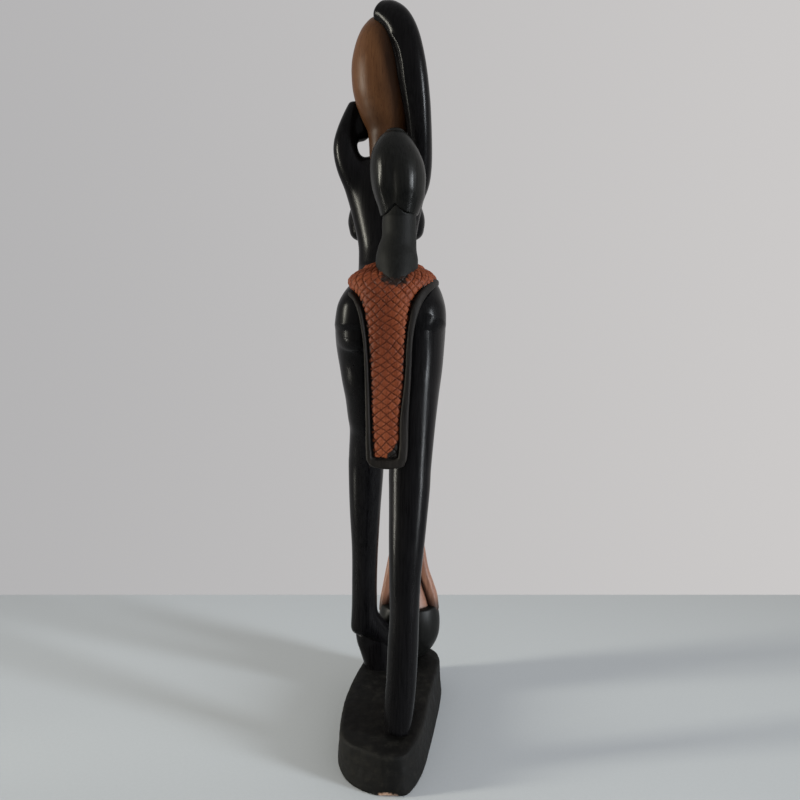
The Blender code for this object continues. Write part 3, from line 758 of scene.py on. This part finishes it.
# ---------------------------------------------------------------- the child
def build_child():
    cx, cy, cz = CHILD_HEAD_CENTRE
    parts = [loft(CHILD_HEAD, level=True, caps=(0.2, 0.42)), loft(CHILD_NECK, caps=(0.2, 0.2))]
    for side in (-1, 1):
        parts.append(ellipsoid((cx - 0.8 + side * 14.2, cy + 7.5, cz + 0.5), (1.2, 2, 3), 18))
    obj = fused("child_on_back", parts, FINE_VOXEL, 8)
    points = points_of(obj)
    x = points[:, 0] - NAPE_X
    back = ramp(-(points[:, 1] - cy), -6, 2)
    # the hair cap's edge is high in the middle of the nape and low behind each ear
    edge = NAPE_HEIGHT + NAPE_PEAK * np.exp(-(x / NAPE_HALF_WIDTH) ** 2) + 0.9 * ramp(x, 2, 12)
    above = points[:, 2] - edge
    cap = ramp(above, -0.25, 0.35)
    height = back * (0.75 * cap - 0.45 * np.exp(-((above + 0.35) / 0.5) ** 2))
    # furrow down the nape, with a soft swelling on each side of it
    furrow = np.exp(-((points[:, 0] - 5.4) / 3.4) ** 2)
    furrow *= ramp(points[:, 2], 345, 356) * ramp(-points[:, 2], -378, -366)
    height -= back * 1.5 * furrow
    for side in (-1, 1):
        height += back * 0.7 * blob(points, (6.4 + side * 8.4, -46, 361), (4.8, 9, 8))
    height += face_height(points, (cx, cy, cz + 1.0), 0.92)
    height += 0.06 * noise_at(points, 0.11, 1.7)
    raise_by(obj, height)
    # the neck is duller than the head, and so is the furrow
    below = 1 - ramp(above, -0.6, 0.2)
    paint(obj, "matte", np.maximum(below, 0.5 * furrow))
    finish_piece(obj, SATIN, "child_wood", "child_head", "child_neck")


# ---------------------------------------------------------------- the wrap
def build_wrap():
    parts = [loft(WRAP, level=True, caps=(0.3, 0.25), count=64, power=2.7)]
    obj = fused("carrying_wrap", parts, FINE_VOXEL, 8)
    points = points_of(obj)
    x, y, z = points.T
    # two families of slanting cuts with a slight wander make the diamonds
    across = np.arctan2(x - WRAP_AXIS[0], WRAP_AXIS[1] - y) * WRAP_RADIUS / DIAMOND_ACROSS
    first = across + z / DIAMOND_UP + 0.4 * noise_at(points, 0.09, 5.0)
    second = across - z / DIAMOND_UP + 0.4 * noise_at(points, 0.09, 9.0)
    off_first = first - np.round(first)
    off_second = second - np.round(second)
    away = np.minimum(np.abs(off_first), np.abs(off_second))
    cut = np.exp(-(away / CUT_WIDTH) ** 2)
    pillow = np.minimum(1, away / 0.3)
    strength = 0.75 + 0.5 * noise_at(points, 0.2, 2.0)
    # each diamond leans like a scale
    raise_by(obj, -CUT_DEPTH * cut * strength + DIAMOND_SWELL * pillow - DIAMOND_LEAN * off_second)
    # blackened along the border and in the lower right corner, and painted shade under the child's neck
    border = near_line(points, [row[:3] for row in WRAP_RIM], 6.0)
    edge = ramp(-border - 1.6 * noise_at(points, 0.5, 3.0) + 1.4 * cut, -3.4, -2.2)
    corner = x - 11.4 - 0.16 * np.maximum(z - 226, 0) + 0.7 * np.maximum(214 - z, 0)
    corner = ramp(corner + 1.2 * noise_at(points, 0.3, 6.0), -0.6, 0.4) * (z < 262)
    nape = blob(points, (8, -58, 306.4), (9.4, 9, 4.6)) + 0.35 * noise_at(points, 0.4, 3.0)
    blackening_and_shade = np.maximum(np.maximum(edge, corner), 0.95 * ramp(nape, 0.3, 0.6))
    # painted shade in the cuts between the diamonds
    paint(obj, "carved", cut * (0.35 + 0.4 * strength))
    paint(obj, "blackening_and_shade", blackening_and_shade)
    finish_piece(obj, CLOTH_BROWN, "wrap_wood", "wrap_bundle", "wrap_panel")


def build_rim():
    slab = loft(WRAP_RIM_SLAB, level=True, caps=(0.7, 0.3), power=3.4)
    bead = [(x, y, z, deep, wide) for x, y, z, wide, deep in WRAP_RIM]
    obj = fused("wrap_rim", [slab, loft(bead, axis=(3.5, -24), caps=(0.8, 0.8), power=3.2)],
                FINE_VOXEL, 8)
    raise_by(obj, 0.12 * noise_at(points_of(obj), 0.12, 4.0))
    finish_piece(obj, RIM, "border_wood", "wrap_border")


# ---------------------------------------------------------------- vessels
def build_jar():
    body = loft(JAR, level=True, caps=(0.3, 0.35), count=64)
    obj = fused("carried_calabash", [body], JAR_VOXEL, 4)
    points = points_of(obj)
    raise_by(obj, 0.35 * noise_at(points, 0.05, 8.0) + 0.05 * noise_at(points, 0.3, 2.0))
    # painted shade on the jar's right side, beside the arm, and on its narrow lower part, lessened in a
    # painted lit patch low on the right
    edge = points[:, 0] - (2.5 - 0.16 * (points[:, 2] - 440)) + 3 * noise_at(points, 0.08, 3.0)
    low = ramp(-points[:, 2], -432, -404)
    right = ramp(edge, -20, 5) * (1 - 0.6 * blob(points, (7, -12, 408), (5, 20, 14)))
    paint(obj, "stain_and_shade", np.maximum(0.85 * right, 0.62 * low * (1 - 0.6 * right)))
    finish_piece(obj, JAR_BROWN, "brown_wood", "carried_jar")


def build_gourd():
    bowl = fused("gourd_bowl_carved", [lathe(BOWL_PROFILE, GOURD_CENTRE, GOURD_DEPTH)], GOURD_VOXEL, 4)
    raise_by(bowl, 0.2 * noise_at(points_of(bowl), 0.06, 6.0))
    paint(bowl, "matte", 0.4 + 0.2 * noise_at(points_of(bowl), 0.1, 5.0))
    finish_piece(bowl, SATIN, "gourd_black_wood", "gourd_bowl")
    # the brown neck and strap darken where they meet the bowl
    throat = lathe(GOURD_NECK_PROFILE, GOURD_CENTRE, GOURD_DEPTH)
    neck = fused("gourd_neck_carved", [throat], GOURD_VOXEL, 4)
    paint(neck, "stain_and_shade", 0.9 * ramp(-points_of(neck)[:, 2], -69, -63))
    finish_piece(neck, GOURD_BROWN, "brown_wood", "gourd_neck")
    arch = loft(GOURD_STRAP, across=(0, 1, 0), caps=(0.2, 0.2), power=2.6)
    strap = fused("gourd_strap_carved", [arch], GOURD_VOXEL, 4)
    paint(strap, "stain_and_shade", 0.95 * ramp(-points_of(strap)[:, 2], -76, -63))
    finish_piece(strap, GOURD_BROWN, "brown_wood", "gourd_strap")


# ---------------------------------------------------------------- base
def build_base():
    outline = spline(BASE_OUTLINE, 6, closed=True)
    foot, top = outline[:, :2], outline[:, 2:]
    middle = top.mean(axis=0)
    made = []
    for z, size in BASE_LEVELS:
        share = ramp(np.array(z / BASE_HEIGHT), -0.35, 1.0)
        ring = foot * (1 - share) + top * share
        ring = middle + (ring - middle) * size
        made.append(np.column_stack([ring, np.full(len(ring), z)]))
    slab = (np.vstack(made), closed_faces(len(made), len(outline)))
    obj = fused("base_block", [slab], BASE_VOXEL, 3)
    points = points_of(obj)
    # hand-cut unevenness above the lowest edge, and two chips at the near lower edge
    sides = ramp(points[:, 2], 0.6, 3)
    height = sides * (0.5 * noise_at(points, 0.05, 2.0) + 0.22 * noise_at(points, 0.22, 7.0))
    chip = blob(points, (4.4, -79, 0.5), (5.5, 3.5, 3.4))
    chip += 0.6 * blob(points, (10.5, -77.6, 0), (3.4, 3, 2))
    height -= 1.5 * np.clip(chip, 0, 1)
    raise_by(obj, np.clip(height, -1.6, 0.5))
    # nothing goes below the table
    points = points_of(obj)
    points[:, 2] = np.maximum(points[:, 2], 0.0)
    set_points(obj, points)
    paint(obj, "bare", ramp(chip + 0.25 * noise_at(points, 0.6, 1.0), 0.35, 0.55))
    finish_piece(obj, BASE_STAIN, "base_wood", "base_slab")


def build_heel_block():
    obj = fused("heel_block_carved", [loft(HEEL_BLOCK, caps=(0.1, 0.5), power=2.6)], BODY_VOXEL, 5)
    raise_by(obj, 0.3 * noise_at(points_of(obj), 0.12, 2.0))
    finish_piece(obj, EBONY, "base_wood", "left_foot_block")


# ---------------------------------------------------------------- stage
CAMERA_PLACE = (0.0545, -0.461, 0.277)
CAMERA_TURN = math.radians(6.2)
CAMERA_DIP = math.radians(5.77)
CAMERA_LENS = 31.2
CAMERA_SENSOR = 36
# the floor's far edge, and how far it goes to the other sides
FLOOR_EDGE = 0.2405
FLOOR_REACH = 3.0
FLOOR_TONE = (0.46, 0.485, 0.50)
BACKDROP_LEFT = (0.455, 0.450, 0.455, 1)
BACKDROP_RIGHT = (0.63, 0.613, 0.606, 1)
BACKDROP_SPAN = 0.6
LIGHT_SPREAD = math.radians(40)
# name, place, aim, width, height, power, colour
LIGHTS = (
    ("window_left", (-1.9, -0.55, 0.68), (0, 0, 0.28), 0.24, 0.9, 2.9, (1.0, 0.97, 0.84)),
    ("window_right", (1.9, -0.70, 0.68), (0, 0, 0.28), 0.28, 0.9, 3.4, (0.90, 0.95, 1.0)),
    ("low_left", (-0.46, -0.12, 0.09), (0, -0.01, 0.15), 0.045, 0.22, 0.15, (1.0, 0.97, 0.86)),
    ("low_right", (0.46, -0.20, 0.09), (0, -0.03, 0.15), 0.045, 0.22, 0.12, (0.92, 0.96, 1.0)),
)


def build_light(name, place, aim, width, height, power, colour):
    light = bpy.data.lights.new(name, "AREA")
    light.energy = power
    light.color = colour
    light.size = width
    light.spread = LIGHT_SPREAD
    light.shape = "RECTANGLE"
    light.size_y = height
    obj = bpy.data.objects.new(name, light)
    bpy.context.scene.collection.objects.link(obj)
    obj.location = place
    obj.rotation_euler = (Vector(aim) - Vector(place)).to_track_quat("-Z", "Y").to_euler()


def build_floor():
    """Plain cloth, whose far edge is square to the camera's direction."""
    s, c = math.sin(CAMERA_TURN), math.cos(CAMERA_TURN)
    corners = [(-FLOOR_REACH, -FLOOR_REACH), (FLOOR_REACH, -FLOOR_REACH), (FLOOR_REACH, FLOOR_EDGE),
               (-FLOOR_REACH, FLOOR_EDGE)]
    mesh = bpy.data.meshes.new("floor")
    mesh.from_pydata([(x * c - y * s, x * s + y * c, 0) for x, y in corners], [], [(0, 1, 2, 3)])
    mesh.materials.append(cloth_look("floor_cloth", FLOOR_TONE))
    obj = bpy.data.objects.new("floor", mesh)
    bpy.context.scene.collection.objects.link(obj)


def build_backdrop():
    """Pale world, a little brighter to the right."""
    world = bpy.data.worlds.new("studio")
    world.use_nodes = True
    tree = world.node_tree
    coords = tree.nodes.new("ShaderNodeTexCoord")
    apart = tree.nodes.new("ShaderNodeSeparateXYZ")
    span = tree.nodes.new("ShaderNodeMapRange")
    tone = tree.nodes.new("ShaderNodeValToRGB")
    backdrop = tree.nodes["Background"]
    span.inputs["From Min"].default_value = -BACKDROP_SPAN
    span.inputs["From Max"].default_value = BACKDROP_SPAN
    tone.color_ramp.elements[0].color = BACKDROP_LEFT
    tone.color_ramp.elements[1].color = BACKDROP_RIGHT
    backdrop.inputs["Strength"].default_value = 1.0
    tree.links.new(coords.outputs["Generated"], apart.inputs["Vector"])
    tree.links.new(apart.outputs["X"], span.inputs["Value"])
    tree.links.new(span.outputs["Result"], tone.inputs["Fac"])
    tree.links.new(tone.outputs["Color"], backdrop.inputs["Color"])
    bpy.context.scene.world = world


def build_camera():
    camera = bpy.data.cameras.new("camera")
    camera.sensor_width = CAMERA_SENSOR
    camera.lens = CAMERA_LENS
    obj = bpy.data.objects.new("camera", camera)
    bpy.context.scene.collection.objects.link(obj)
    obj.location = CAMERA_PLACE
    ahead = Vector((-math.sin(CAMERA_TURN) * math.cos(CAMERA_DIP),
                    math.cos(CAMERA_TURN) * math.cos(CAMERA_DIP), -math.sin(CAMERA_DIP)))
    obj.rotation_euler = ahead.to_track_quat("-Z", "Y").to_euler()
    bpy.context.scene.camera = obj


build_body()
build_head()
build_child()
build_wrap()
build_rim()
build_jar()
build_gourd()
build_base()
build_heel_block()
build_floor()
build_backdrop()
for row in LIGHTS:
    build_light(*row)
build_camera()
bpy.context.scene.view_settings.view_transform = "Standard"
